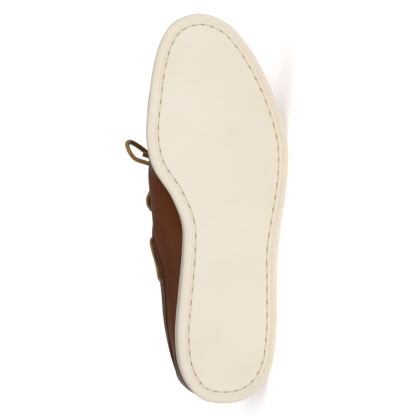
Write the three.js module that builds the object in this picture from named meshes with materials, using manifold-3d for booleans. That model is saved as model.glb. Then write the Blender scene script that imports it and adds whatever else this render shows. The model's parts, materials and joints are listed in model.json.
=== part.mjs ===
// A left boat shoe of EU size 42, empty, lying on its outer side as it comes to rest on a floor.
// Millimetres. Every piece is made in the shoe's own standing frame: X from the heel to the toe,
// Y to the outer side, Z up from the ground. The whole shoe is then turned onto its side, so that
// in the part's frame +X still runs from heel to toe, +Z is up and the sole faces -Y.
import * as THREE from "three";
import { LoftGeometry } from "three/addons/geometries/LoftGeometry.js";
import { mergeVertices } from "three/addons/utils/BufferGeometryUtils.js";
import Module from "manifold-3d";

const wasm = await Module();
wasm.setup();

// ---------------------------------------------------------------- driving dimensions

const LENGTH = 295; // outsole, heel to toe
const HEEL_THICK = 14; // outsole under the heel
const FORE_THICK = 9.5; // outsole under the ball
const TOE_SPRING = 9; // rise of the sole's tip
const SPRING_START = 205; // the sole is flat on the ground back from here
const SOLE_ROUND = 0.8; // bevel along the sole's upper edge
const SOLE_FLARE = 1.2; // how much wider the sole is at the tread than at the top
const TREAD_ROUND = 1.5; // bevel along the edge that walks
const WALL = 2; // leather of the upper
const FEATHER = 5; // how far the upper's foot stands in from the sole's edge
const INSOLE_THICK = 3.5;
const TONGUE_THICK = 2.4;
const COUNTER_THICK = 1.6; // leather of the heel counter, laid on the upper
const LACE = 3.6; // rawhide lace, across
const GAP = 0.3; // between pieces that touch

// How the shoe lies: the turn in its own ground plane that brings heel and ball edges down
// together, and the turn past a right angle that brings the upper's side down to the floor.
const YAW = 4.353;
const LEAN = 2.414;

const SECTIONS = 40; // sections from heel to toe
const RISE_STEPS = 9; // steps of a section from its foot to the ridge
const EDGE_STEPS = 400; // samples along one edge of the sole
const FAR = 200; // reaches past the shoe on every side

// The sole's outline: half breadths at each station, on the inner and on the outer side.
const SOLE_ROWS = [
  { x: 3, inner: 12, outer: 21.5 },
  { x: 12, inner: 22.5, outer: 33.5 },
  { x: 28, inner: 30, outer: 42 },
  { x: 52, inner: 32.5, outer: 45.5 },
  { x: 85, inner: 30, outer: 46 },
  { x: 115, inner: 27.5, outer: 46 },
  { x: 135, inner: 28, outer: 49 },
  { x: 155, inner: 36, outer: 52.5 },
  { x: 178, inner: 51, outer: 55 },
  { x: 200, inner: 56, outer: 54 },
  { x: 228, inner: 54, outer: 46 },
  { x: 256, inner: 49.5, outer: 33.5 },
  { x: 275, inner: 43, outer: 21.5 },
  { x: 288, inner: 33, outer: 9 },
];
const HEEL_TIP = { x: 0, y: 5 };
const TOE_TIP = { x: LENGTH, y: -12 };

// The ridge that the two walls of the last rise to. It runs short of the heel and of the toe.
const RIDGE_ROWS = [
  { x: 28, y: 6, z: 104 },
  { x: 80, y: 5, z: 101 },
  { x: 120, y: 4, z: 92 },
  { x: 150, y: 2, z: 79 },
  { x: 178, y: 0, z: 66.5 },
  { x: 205, y: -3, z: 56 },
  { x: 235, y: -7, z: 48 },
  { x: 262, y: -10, z: 43 },
];

// How far each wall of the last swells past the sole's edge low down, and the share of the half
// breadth at which it turns over towards the ridge.
const WALL_ROWS = [
  { x: 0, innerSwell: 0, outerSwell: 0, innerBrow: 0.74, outerBrow: 0.74 },
  { x: 30, innerSwell: -2, outerSwell: -1, innerBrow: 0.68, outerBrow: 0.74 },
  { x: 75, innerSwell: 8, outerSwell: 0, innerBrow: 0.92, outerBrow: 0.66 },
  { x: 100, innerSwell: 16, outerSwell: 2, innerBrow: 1.1, outerBrow: 0.64 },
  { x: 130, innerSwell: 27, outerSwell: 12, innerBrow: 1.38, outerBrow: 0.84 },
  { x: 155, innerSwell: 18, outerSwell: 8, innerBrow: 1.28, outerBrow: 0.85 },
  { x: 185, innerSwell: -4, outerSwell: -1, innerBrow: 0.82, outerBrow: 0.82 },
  { x: 230, innerSwell: -3, outerSwell: 0, innerBrow: 0.84, outerBrow: 0.86 },
  { x: 270, innerSwell: -3, outerSwell: -1, innerBrow: 0.8, outerBrow: 0.8 },
  { x: LENGTH, innerSwell: -2, outerSwell: -2, innerBrow: 0.74, outerBrow: 0.74 },
];
const SWELL_RISE = 0.36; // share of the wall's height at which it swells, at the back
const SWELL_RISE_TOE = 0.62; // and along the toe, where the wall is low and upright

// The top line seen from the side, back to front, up to the facings' rounded corners.
const TOP_ROWS = [
  { x: -20, z: 71 },
  { x: 8, z: 69.5 },
  { x: 40, z: 61 },
  { x: 80, z: 56 },
  { x: 105, z: 60 },
  { x: 122, z: 70 },
  { x: 132, z: 83 },
  { x: 136, z: 110 },
];

// The throat between the facings, seen from above.
const THROAT = { back: 110, front: 178, backHalf: 18, frontHalf: 11 };

// The tongue seen from above: its free end, its sewn end under the vamp, and its half widths.
const TONGUE = { back: 103, front: 202, backHalf: 25, frontHalf: 19 };

// The heel counter seen from the side: how far forward it reaches, at its foot and at its top.
const COUNTER = { footReach: 46, topReach: 15, top: 52 };

// Eyelets: two on each facing.
const EYELET = { flange: 4.2, barrel: 2.75, bore: 2.25, thick: 0.8, sides: 18 };
const EYELET_ROWS = [
  { name: "rear", x: 151, off: 20 },
  { name: "front", x: 169, off: 17 },
];

// The lace that runs round the collar: the height of its line, where it shows outside, and how far
// it arches off the leather there.
const COLLAR_LACE_ROWS = [
  { x: 90, z: 47 },
  { x: 105, z: 52 },
  { x: 116, z: 59 },
  { x: 128, z: 62.5 },
  { x: 142, z: 61 },
  { x: 162, z: 57.5 },
];
const COLLAR_LACE_SHOWN = [
  { front: 160, back: 146, arch: 1.2 },
  { front: 124, back: 91, arch: 0 },
];

// ---------------------------------------------------------------- the last

// Smooth value of one column of a table at station x.
function along(rows, key, x) {
  const last = rows.length - 1;
  if (x <= rows[0].x) return rows[0][key];
  if (x >= rows[last].x) return rows[last][key];
  const i = rows.findIndex((row) => row.x > x) - 1;
  const slope = (k) => {
    const before = rows[Math.max(k - 1, 0)];
    const after = rows[Math.min(k + 1, last)];
    return (after[key] - before[key]) / (after.x - before.x);
  };
  const step = rows[i + 1].x - rows[i].x;
  const t = (x - rows[i].x) / step;
  const rise = t * t * (3 - 2 * t);
  return (
    (1 - rise) * rows[i][key] +
    rise * rows[i + 1][key] +
    t * (1 - t) * (1 - t) * step * slope(i) -
    t * t * (1 - t) * step * slope(i + 1)
  );
}

function soleBottom(x) {
  const share = Math.max(0, (x - SPRING_START) / (LENGTH - SPRING_START));
  return TOE_SPRING * share * share;
}

function soleTop(x) {
  const share = THREE.MathUtils.smoothstep(x, 70, 190);
  return soleBottom(x) + THREE.MathUtils.lerp(HEEL_THICK, FORE_THICK, share);
}

// One edge of the sole. The result takes a share of its length, counted from the heel tip, and
// gives the point there and the direction that leads out of the sole.
function soleEdge(side) {
  const sign = side === "inner" ? -1 : 1;
  const other = side === "inner" ? "outer" : "inner";
  const near = SOLE_ROWS.map((row) => new THREE.Vector3(row.x, sign * row[side], 0));
  const far = SOLE_ROWS.map((row) => new THREE.Vector3(row.x, -sign * row[other], 0));
  const heel = new THREE.Vector3(HEEL_TIP.x, HEEL_TIP.y, 0);
  const toe = new THREE.Vector3(TOE_TIP.x, TOE_TIP.y, 0);
  const outline = new THREE.CatmullRomCurve3([heel, ...near, toe, ...far.reverse()], true);
  const points = Array.from({ length: EDGE_STEPS + 1 }, (_, i) =>
    outline.getPoint(i / EDGE_STEPS / 2),
  );
  const lengths = [0];
  for (let i = 1; i <= EDGE_STEPS; i += 1)
    lengths.push(lengths[i - 1] + points[i].distanceTo(points[i - 1]));
  return (share) => {
    const goal = THREE.MathUtils.clamp(share, 0, 1) * lengths[EDGE_STEPS];
    const i = Math.max(lengths.findIndex((length) => length >= goal), 1);
    const part = (goal - lengths[i - 1]) / (lengths[i] - lengths[i - 1]);
    const point = points[i - 1].clone().lerp(points[i], part);
    const at = (i - 1 + part) / EDGE_STEPS / 2;
    const run = outline.getPoint((at + 0.001) % 1).sub(outline.getPoint((at + 0.999) % 1));
    return { point, out: new THREE.Vector3(-sign * run.y, sign * run.x, 0).normalize() };
  };
}

const EDGE = { inner: soleEdge("inner"), outer: soleEdge("outer") };

// The ridge's point for the sections at one share of the way from heel to toe.
function ridgePoint(share) {
  const mean = (EDGE.inner(share).point.x + EDGE.outer(share).point.x) / 2;
  const [back, front] = [RIDGE_ROWS[0].x, RIDGE_ROWS[RIDGE_ROWS.length - 1].x];
  const x = back + (mean / LENGTH) * (front - back);
  return new THREE.Vector3(x, along(RIDGE_ROWS, "y", x), along(RIDGE_ROWS, "z", x));
}

// A point of the last: share runs from heel to toe, rise from the sole up to the ridge.
function lastPoint(side, share, rise) {
  const { point, out } = EDGE[side](share);
  const ridge = ridgePoint(share);
  const toeward = THREE.MathUtils.smoothstep(point.x, 140, 230);
  const foot = point.clone().addScaledVector(out, -FEATHER);
  foot.z = soleTop(foot.x) + GAP;
  const swell = point.clone().addScaledVector(out, along(WALL_ROWS, `${side}Swell`, point.x));
  const lift = THREE.MathUtils.lerp(SWELL_RISE, SWELL_RISE_TOE, toeward);
  swell.z = THREE.MathUtils.lerp(foot.z, ridge.z, lift);
  const brow = ridge.clone().lerp(point, along(WALL_ROWS, `${side}Brow`, point.x));
  brow.z = ridge.z;
  return new THREE.CubicBezierCurve3(foot, swell, brow, ridge).getPoint(rise);
}

// The outward direction of the last's surface. The ridge has one direction for both walls, and
// so have the two tips.
function lastNormal(side, share, rise) {
  const step = 0.002;
  const ahead = Math.min(share + step, 1);
  const behind = Math.max(share - step, 0);
  if (rise > 1 - step) {
    const run = ridgePoint(ahead).sub(ridgePoint(behind));
    return new THREE.Vector3(-run.z, 0, run.x).normalize();
  }
  const { out } = EDGE[side](share);
  const turn = side === "inner" ? 1 : -1;
  const run = new THREE.Vector3(-turn * out.y, turn * out.x, 0);
  if (share > 0 && share < 1)
    run.subVectors(lastPoint(side, ahead, rise), lastPoint(side, behind, rise));
  const up = lastPoint(side, share, Math.min(rise + step, 1));
  up.sub(lastPoint(side, share, Math.max(rise - step, 0)));
  return run.cross(up).multiplyScalar(turn).normalize();
}

function grownPoint(side, share, rise, grow) {
  return lastPoint(side, share, rise).addScaledVector(lastNormal(side, share, rise), grow);
}

// The value between low and high at which a rising measure passes zero.
function solve(low, high, measure) {
  let [below, above] = [low, high];
  for (let i = 0; i < 24; i += 1) {
    const middle = (below + above) / 2;
    if (measure(middle) < 0) below = middle;
    else above = middle;
  }
  return (below + above) / 2;
}

// The place on the last's wall at station x where a rising measure of the point passes zero:
// the point and the outward direction.
function spotOnLast(side, x, measure) {
  const shareAt = (rise) => solve(0, 1, (share) => lastPoint(side, share, rise).x - x);
  const rise = solve(0, 0.995, (r) => measure(lastPoint(side, shareAt(r), r)));
  const share = shareAt(rise);
  return { point: lastPoint(side, share, rise), normal: lastNormal(side, share, rise) };
}

// ---------------------------------------------------------------- solids

// A closed geometry as a solid that can be joined and cut.
function solid(geometry) {
  const bare = new THREE.BufferGeometry();
  bare.setAttribute("position", geometry.getAttribute("position"));
  if (geometry.index) bare.setIndex(geometry.index);
  const merged = mergeVertices(bare, 1e-3);
  const triangles = [];
  for (let i = 0; i < merged.index.count; i += 3) {
    const [a, b, c] = [0, 1, 2].map((corner) => merged.index.getX(i + corner));
    if (a !== b && b !== c && c !== a) triangles.push(a, b, c);
  }
  const vertProperties = merged.attributes.position.array;
  const triVerts = new Uint32Array(triangles);
  return new wasm.Manifold(new wasm.Mesh({ numProp: 3, vertProperties, triVerts }));
}

function geometryOf(made) {
  const { vertProperties, triVerts, numProp } = made.getMesh();
  const position = new Float32Array((vertProperties.length / numProp) * 3);
  for (let i = 0; i < position.length / 3; i += 1)
    position.set(vertProperties.subarray(i * numProp, i * numProp + 3), i * 3);
  const geometry = new THREE.BufferGeometry();
  geometry.setAttribute("position", new THREE.BufferAttribute(position, 3));
  geometry.setIndex(new THREE.BufferAttribute(triVerts, 1));
  geometry.computeVertexNormals();
  return geometry;
}

// A solid through closed sections that run from heel to toe, each ring counted from the inner
// side's top down, under the foot and up the outer side.
function throughSections(ringAt) {
  const rings = Array.from({ length: SECTIONS + 1 }, (_, i) => ringAt(i / SECTIONS));
  return solid(new LoftGeometry(rings, { capStart: false, capEnd: false }));
}

// The whole last, grown by some millimetres, with a skirt that reaches below its foot.
function lastForm(grow, skirt) {
  return throughSections((share) => {
    const ring = [];
    for (let j = RISE_STEPS; j >= 0; j -= 1)
      ring.push(grownPoint("inner", share, j / RISE_STEPS, grow));
    for (const side of ["inner", "outer"]) {
      const foot = grownPoint(side, share, 0, grow);
      ring.push(foot.setZ(foot.z - skirt));
    }
    for (let j = 0; j < RISE_STEPS; j += 1)
      ring.push(grownPoint("outer", share, j / RISE_STEPS, grow));
    return ring;
  });
}

// A slab that follows the sole's outline, set in from it, between two heights over the ground.
function soleSlab(corners) {
  return throughSections((share) => {
    const corner = (side) => ({ inset, height }) => {
      const { point, out } = EDGE[side](share);
      point.addScaledVector(out, -inset);
      return point.setZ(height(point.x));
    };
    return [...corners.map(corner("inner")), ...corners.map(corner("outer")).reverse()];
  });
}

// A shape drawn in the side view, right across the shoe.
function acrossShoe(points) {
  const shape = new THREE.Shape(points.map(([x, z]) => new THREE.Vector2(x, z)));
  const geometry = new THREE.ExtrudeGeometry(shape, { depth: 2 * FAR, bevelEnabled: false });
  geometry.rotateX(Math.PI / 2);
  geometry.translate(0, FAR, 0);
  return solid(geometry);
}

// A tapered strip with round ends, drawn in the view from above, from a height upwards.
function upThroughShoe({ back, front, backHalf, frontHalf }, centre, bottom) {
  const shape = new THREE.Shape();
  shape.moveTo(back + backHalf, centre - backHalf);
  shape.lineTo(front - frontHalf, centre - frontHalf);
  shape.absarc(front - frontHalf, centre, frontHalf, -Math.PI / 2, Math.PI / 2);
  shape.lineTo(back + backHalf, centre + backHalf);
  shape.absarc(back + backHalf, centre, backHalf, Math.PI / 2, (3 * Math.PI) / 2);
  const options = { depth: FAR, bevelEnabled: false, curveSegments: 10 };
  const geometry = new THREE.ExtrudeGeometry(shape, options);
  geometry.translate(0, 0, bottom);
  return solid(geometry);
}

// A round cord through a list of points.
function cord(points, radius, step) {
  const path = new THREE.CatmullRomCurve3(points);
  const corners = Array.from({ length: 8 }, (_, i) => {
    const angle = ((i + 0.5) * Math.PI) / 4;
    return new THREE.Vector2(Math.cos(angle), Math.sin(angle)).multiplyScalar(radius);
  });
  const steps = Math.max(4, Math.round(path.getLength() / step));
  const options = { steps, extrudePath: path };
  return solid(new THREE.ExtrudeGeometry(new THREE.Shape(corners), options));
}

// ---------------------------------------------------------------- sole and upper

const SIDES = ["inner", "outer"];

function outsole() {
  return soleSlab([
    { inset: SOLE_FLARE + SOLE_ROUND, height: soleTop },
    { inset: SOLE_FLARE, height: (x) => soleTop(x) - SOLE_ROUND },
    { inset: 0, height: (x) => soleBottom(x) + TREAD_ROUND },
    { inset: TREAD_ROUND, height: soleBottom },
  ]);
}

function insole() {
  const inset = FEATHER + WALL + 2 * GAP;
  return soleSlab([
    { inset, height: (x) => soleTop(x) + GAP + INSOLE_THICK },
    { inset, height: (x) => soleTop(x) + GAP },
  ]);
}

// The collar and the throat, as what is taken out of the upper.
function opening() {
  const first = TOP_ROWS[0];
  const last = TOP_ROWS[TOP_ROWS.length - 1];
  const count = 26;
  const line = Array.from({ length: count + 1 }, (_, i) => {
    const x = THREE.MathUtils.lerp(first.x, last.x, i / count);
    return [x, along(TOP_ROWS, "z", x)];
  });
  const collar = acrossShoe([...line, [last.x, FAR], [first.x, FAR]]);
  return collar.add(upThroughShoe(THROAT, 1, 40));
}

function tongue() {
  const top = -(WALL + LACE + 5 * GAP);
  const skin = lastForm(top, 0).subtract(lastForm(top - TONGUE_THICK, 1));
  return skin.intersect(upThroughShoe(TONGUE, 1, 45));
}

function heelCounter(upperForm) {
  const skin = lastForm(GAP + COUNTER_THICK, 0).subtract(upperForm);
  const { footReach, topReach, top } = COUNTER;
  const bottom = HEEL_THICK + 2 * GAP;
  const bend = new THREE.QuadraticBezierCurve(
    new THREE.Vector2(footReach, bottom),
    new THREE.Vector2(topReach + 6, top - 10),
    new THREE.Vector2(topReach, top),
  );
  const line = bend.getPoints(8).map((p) => [p.x, p.y]);
  return skin.intersect(acrossShoe([[-20, bottom], ...line, [-20, top]]));
}

// ---------------------------------------------------------------- eyelets and lace

const EYELETS = SIDES.flatMap((side) =>
  EYELET_ROWS.map(({ name, x, off }) => {
    const spot = spotOnLast(side, x, (p) => off - Math.abs(p.y - along(RIDGE_ROWS, "y", x)));
    return { side, name, ...spot };
  }),
);

// A point beside an eyelet: so far towards another point, and so high along its axis.
function besideEyelet(eyelet, goal, away, high) {
  const towards = goal.clone().sub(eyelet.point).projectOnPlane(eyelet.normal).normalize();
  return eyelet.point.clone().addScaledVector(towards, away).addScaledVector(eyelet.normal, high);
}

function onEyelet(geometry, eyelet) {
  const up = new THREE.Vector3(0, 1, 0);
  geometry.applyQuaternion(new THREE.Quaternion().setFromUnitVectors(up, eyelet.normal));
  return geometry.translate(...eyelet.point.toArray());
}

function eyeletSolid(eyelet) {
  const { flange, barrel, bore, thick, sides } = EYELET;
  const profile = [
    [bore, -WALL - GAP],
    [barrel, -WALL - GAP],
    [barrel, GAP],
    [flange, GAP],
    [flange - thick / 2, GAP + thick],
    [bore, GAP + thick],
    [bore, -WALL - GAP],
  ].map(([r, h]) => new THREE.Vector2(r, h));
  return solid(onEyelet(new THREE.LatheGeometry(profile, sides), eyelet));
}

function eyeletHole(eyelet) {
  const radius = EYELET.barrel + GAP;
  const depth = 4 * WALL;
  return solid(onEyelet(new THREE.CylinderGeometry(radius, radius, depth, EYELET.sides), eyelet));
}

// The lace's centre line where it comes out of an eyelet and bends over towards a goal, on the
// outside (way 1) or on the inside (way -1). The points lead away from the eyelet.
function overEyelet(eyelet, goal, way) {
  const lip = way > 0 ? GAP + EYELET.thick : WALL + GAP;
  const bend = 0.7 * LACE;
  return [
    [0, lip - 0.2 * LACE],
    [0.05 * bend, lip + 0.3 * bend],
    [0.4 * bend, lip + 0.82 * bend],
    [bend, lip + bend],
  ].map(([away, high]) => besideEyelet(eyelet, goal, away, way * high));
}

const KNOT = new THREE.Vector3(159, 1, 84); // centre of the bow's knot

// A point of the lace over or under the last's surface, between the facings.
function overRidge(x, y, high) {
  const off = y - along(RIDGE_ROWS, "y", x);
  const side = off < 0 ? "inner" : "outer";
  const measure = (p) => Math.abs(off) - Math.abs(p.y - along(RIDGE_ROWS, "y", x));
  const { point, normal } = spotOnLast(side, x, measure);
  return point.addScaledVector(normal, high);
}

// Each half of the lace: from the middle of the front bar down through the front eyelet,
// across under the facings and up through the other side's rear eyelet to the knot.
function laceHalf(side) {
  const other = side === "inner" ? "outer" : "inner";
  const find = (s, name) => EYELETS.find((e) => e.side === s && e.name === name);
  const front = find(side, "front");
  const rear = find(other, "rear");
  const across = (from, to, share, high) => {
    const { x, y } = from.point.clone().lerp(to.point, share);
    return overRidge(x, y, high);
  };
  const bar = across(front, find(other, "front"), 0.5, GAP);
  const barSide = across(front, find(other, "front"), 0.3, LACE / 2);
  const under = -(WALL + LACE / 2 + 2 * GAP);
  const sign = Math.sign(rear.point.y);
  const tuck = KNOT.clone().add(new THREE.Vector3(-7, 4 * sign, -1.5));
  return [
    bar,
    barSide,
    ...overEyelet(front, barSide, 1).reverse(),
    ...overEyelet(front, rear.point, -1),
    ...[0.3, 0.5, 0.7].map((share) => across(front, rear, share, under)),
    ...overEyelet(rear, front.point, -1).reverse(),
    ...overEyelet(rear, KNOT, 1),
    tuck,
  ];
}

function laceCrossings() {
  return cord(laceHalf("inner"), LACE / 2, 2).add(cord(laceHalf("outer"), LACE / 2, 2));
}

// The collar lace's centre line on one side: out through the leather and back in, twice.
function collarLaceLine(side) {
  const place = (x, high) => {
    const z = along(COLLAR_LACE_ROWS, "z", x);
    const { point, normal } = spotOnLast(side, x, (p) => p.z - z);
    return point.addScaledVector(normal, high);
  };
  const bend = 0.7 * LACE;
  const shown = LACE / 2 + 2 * GAP;
  const inside = -(WALL + LACE / 2 + 2 * GAP);
  const points = [];
  COLLAR_LACE_SHOWN.forEach(({ front, back, arch }, i) => {
    if (i === 0) points.push([front, inside]);
    points.push([front, -WALL / 2], [front - 0.3 * bend, 0.5 * shown], [front - bend, shown]);
    for (const share of [0.3, 0.5, 0.7]) {
      const high = shown + arch * Math.sin(Math.PI * share);
      points.push([THREE.MathUtils.lerp(front, back, share), high]);
    }
    points.push([back + bend, shown], [back + 0.3 * bend, 0.5 * shown], [back, -WALL / 2]);
    const next = COLLAR_LACE_SHOWN[i + 1];
    points.push([next ? (back + next.front) / 2 : back, inside]);
  });
  return points.map(([x, high]) => place(x, high));
}

// The bow: two loops and two ends that leave the knot, by points chosen for a stiff rawhide
// lace. Each route starts and ends just clear of the knot.
const BOW = {
  lace_loop_inner: [
    [165.5, -5, 87],
    [174, -15, 89.5],
    [183, -25.5, 90.5],
    [191, -34.5, 90.5],
    [197, -43, 89],
    [200, -50, 86],
    [198, -53, 83],
    [192, -51.5, 81],
    [186.5, -47, 80.5],
    [183.8, -39.5, 80.3],
    [180.8, -30.5, 80.3],
    [172, -19.5, 83.2],
    [161.5, -9.5, 84],
  ],
  lace_loop_outer: [
    [165, 7, 86.5],
    [171, 14, 88],
    [178, 21, 88],
    [184, 27, 86],
    [184, 32, 83],
    [178, 33, 81],
    [171, 27, 81.5],
    [165, 19, 82.5],
    [160, 11, 83.5],
  ],
  lace_end_inner: [
    [166.5, -5.5, 80.5],
    [171, -12, 80],
    [177, -19.5, 80.5],
    [183, -27, 82],
    [188, -33.5, 83.5],
    [190.5, -40, 84.5],
  ],
  lace_end_outer: [
    [157, 9.5, 86.5],
    [152, 15, 87],
    [146, 21, 86],
    [140, 27, 83.5],
    [134, 32, 80],
    [129, 36, 76],
  ],
};

function knot() {
  const geometry = new THREE.SphereGeometry(1, 14, 8);
  geometry.scale(7, 6, 4.2);
  geometry.translate(...KNOT.toArray());
  return solid(geometry);
}

// ---------------------------------------------------------------- the shoe

const rubber = { color: 0xebe3d2, roughness: 0.75, metalness: 0 };
const leather = { color: 0x6f3f22, roughness: 0.5, metalness: 0 };
const lining = { color: 0xb9936a, roughness: 0.8, metalness: 0 };
const rawhide = { color: 0x7a5528, roughness: 0.6, metalness: 0 };
const brass = { color: 0x9a7b45, roughness: 0.35, metalness: 1 };

const shoe = new THREE.Group();

function place(name, made, look) {
  const mesh = new THREE.Mesh(geometryOf(made), new THREE.MeshStandardMaterial(look));
  mesh.name = name;
  shoe.add(mesh);
  return mesh;
}

const collarLines = SIDES.map(collarLaceLine);
const laceHoles = collarLines.map((line) => cord(line, LACE / 2 + 2 * GAP, 2.7));
const holes = [...EYELETS.map(eyeletHole), ...laceHoles];
const upper = lastForm(0, 0).subtract(lastForm(-WALL, 6)).subtract(opening());

place("outsole", outsole(), rubber);
place("insole", insole(), lining);
place("upper", holes.reduce((body, hole) => body.subtract(hole), upper), leather);
place("tongue", tongue(), leather);
place("heel_counter", heelCounter(lastForm(GAP, 6)), leather);
for (const eyelet of EYELETS)
  place(`eyelet_${eyelet.side}_${eyelet.name}`, eyeletSolid(eyelet), brass);
place("lace_crossings", laceCrossings(), rawhide);
SIDES.forEach((side, i) => {
  place(`collar_lace_${side}`, cord(collarLines[i], LACE / 2, 2.7), rawhide);
});

shoe.rotation.set(THREE.MathUtils.degToRad(-90 - LEAN), 0, THREE.MathUtils.degToRad(-YAW));
shoe.updateMatrixWorld(true);
const rest = new THREE.Box3().setFromObject(shoe, true);
shoe.position.set(-(rest.min.x + rest.max.x) / 2, -(rest.min.y + rest.max.y) / 2, -rest.min.z);

place("lace_knot", knot(), rawhide);
for (const [name, route] of Object.entries(BOW)) {
  const points = route.map((p) => new THREE.Vector3(...p));
  place(name, cord(points, LACE / 2, 5), rawhide);
}

export default shoe;
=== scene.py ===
# A left boat shoe, empty, lying on its outer side. Every piece is modelled in the shoe's own
# standing frame in millimetres (x from heel to toe, y to the outer side, z up from the tread),
# and is then laid down into the row's frame, in metres.
import json
import math
from bisect import bisect_left
from functools import lru_cache
from itertools import accumulate

import bmesh
import bpy
from mathutils import Matrix, Vector


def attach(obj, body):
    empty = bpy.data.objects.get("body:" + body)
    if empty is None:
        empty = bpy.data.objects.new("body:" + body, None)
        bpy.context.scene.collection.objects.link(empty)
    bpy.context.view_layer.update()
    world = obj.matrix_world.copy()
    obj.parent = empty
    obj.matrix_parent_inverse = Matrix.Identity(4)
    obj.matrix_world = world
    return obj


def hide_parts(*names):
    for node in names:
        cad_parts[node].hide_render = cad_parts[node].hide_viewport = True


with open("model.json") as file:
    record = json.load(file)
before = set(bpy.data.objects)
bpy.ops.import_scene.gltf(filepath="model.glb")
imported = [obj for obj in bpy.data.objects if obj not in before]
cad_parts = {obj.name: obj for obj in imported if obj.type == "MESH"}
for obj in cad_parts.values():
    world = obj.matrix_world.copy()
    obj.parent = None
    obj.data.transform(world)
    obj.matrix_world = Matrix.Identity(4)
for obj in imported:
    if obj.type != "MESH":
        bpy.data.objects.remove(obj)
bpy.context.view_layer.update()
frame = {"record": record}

# ---------------------------------------------------------------- how the shoe lies, and the camera
# Two rest spots on the tread, under heel and ball, carry the shoe's own frame as it lies. The
# camera stands before the sole, a little round to the inner side, with the toe up.

HEEL_SPOT, BALL_SPOT = Vector((45, 6, 0)), Vector((190, 0, 0))  # the two spots, in the shoe's frame
VIEW_TURN = math.radians(15)  # round from the sole towards the inner side
VIEW_AWAY = 1300
VIEW_SPAN = 313  # height of what the frame holds, at the sole
VIEW_CENTRE = Vector((147.5, -9, 0))


def shoe_frame():
    """The matrix that takes the shoe's own millimetres to the row's metres."""
    spots = {mount["name"]: mount for mount in frame["record"]["mounts"]}
    heel = Vector(spots["heel_rest"]["pos_m"])
    line = (Vector(spots["forefoot_rest"]["pos_m"]) - heel).normalized()
    up = -Vector(spots["heel_rest"]["axis"])
    aside = up.cross(line)
    gap = BALL_SPOT - HEEL_SPOT
    ahead = (gap.x * line - gap.y * aside).normalized()
    turn = Matrix((ahead, up.cross(ahead), up)).transposed().to_4x4() @ Matrix.Scale(0.001, 4)
    return Matrix.Translation(heel - turn @ HEEL_SPOT) @ turn


SHOE = shoe_frame()


def add_object(name, data):
    made = bpy.data.objects.new(name, data)
    bpy.context.scene.collection.objects.link(made)
    return made


def camera():
    away = Vector((0, -math.sin(VIEW_TURN), -math.cos(VIEW_TURN)))
    ahead = Vector((1, 0, 0))
    turn = Matrix((ahead.cross(away), ahead, away)).transposed()
    laid = SHOE.to_3x3() @ turn @ Matrix.Scale(1000, 3)
    data = bpy.data.cameras.new("camera")
    data.lens = data.sensor_width * VIEW_AWAY / VIEW_SPAN
    data.clip_end = 20
    made = add_object("camera", data)
    made.matrix_world = Matrix.Translation(SHOE @ (VIEW_CENTRE + VIEW_AWAY * away)) @ laid.to_4x4()
    bpy.context.scene.camera = made


camera()

# ---------------------------------------------------------------- floor and light
# A table of matt white acrylic, lit a little from below, with two soft boxes: a broad one over
# the shoe and a small one beside the camera, which shows the sole's relief.

FLOOR_REACH = 8000
ACRYLIC, ACRYLIC_GREY = "#FEFEFE", "#FAFAFA"
SKY_STRENGTH = 0.3
FLOOR_GLOW = 0.5


def linear(code):
    """An sRGB hex colour as linear red, green, blue and alpha."""
    shares = [int(code[i : i + 2], 16) / 255 for i in (1, 3, 5)]
    return [s / 12.92 if s <= 0.04045 else ((s + 0.055) / 1.055) ** 2.4 for s in shares] + [1]


def add_node(tree, kind, inputs=None, **settings):
    """Adds a shader node with its settings and its inputs, which are values or other sockets."""
    made = tree.nodes.new("ShaderNode" + kind)
    for name, value in settings.items():
        setattr(made, name, value)
    for socket, value in (inputs or {}).items():
        if isinstance(value, bpy.types.NodeSocket):
            tree.links.new(value, made.inputs[socket])
        else:
            made.inputs[socket].default_value = value
    return made


def new_material(name, **values):
    """A material with values on its shader's sockets: the material, its tree and its shader."""
    made = bpy.data.materials.new(name)
    made.use_nodes = True
    shader = made.node_tree.nodes["Principled BSDF"]
    for socket, value in values.items():
        shader.inputs[socket.replace("_", " ")].default_value = value
    return made, made.node_tree, shader


def mixed(tree, factor, first, second):
    """A colour between two, which are hex codes or sockets."""
    first, second = [linear(c) if isinstance(c, str) else c for c in (first, second)]
    return add_node(tree, "Mix", {0: factor, 6: first, 7: second}, data_type="RGBA").outputs[2]


def ramp(tree, value, low, high):
    """A value brought to 0 at low and to 1 at high, and held beyond."""
    return add_node(tree, "MapRange", {0: value, 1: low, 2: high}).outputs[0]


def reckon(tree, operation, *values):
    return add_node(tree, "Math", dict(enumerate(values)), operation=operation).outputs[0]


def times(tree, first, second):
    return reckon(tree, "MULTIPLY", first, second)


def noise(tree, scale, detail=2, where=None):
    """Cloudy noise over the object's own metres, or over another vector."""
    where = where or add_node(tree, "TexCoord").outputs["Object"]
    return add_node(tree, "TexNoise", {"Vector": where, "Scale": scale, "Detail": detail}).outputs[0]


def dress(tree, shader, base, height=None, strength=0.5, depth=0.0002, invert=False):
    """Links a material's colour, and its relief of some depth in metres."""
    tree.links.new(base, shader.inputs["Base Color"])
    if height:
        inputs = {"Height": height, "Strength": strength, "Distance": depth}
        bump = add_node(tree, "Bump", inputs, invert=invert)
        tree.links.new(bump.outputs[0], shader.inputs["Normal"])


def mesh_data(name, mesh):
    """A mesh's points and faces under a name, for an object to show."""
    data = bpy.data.meshes.new(name)
    mesh.to_mesh(data)
    mesh.free()
    return data


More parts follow.
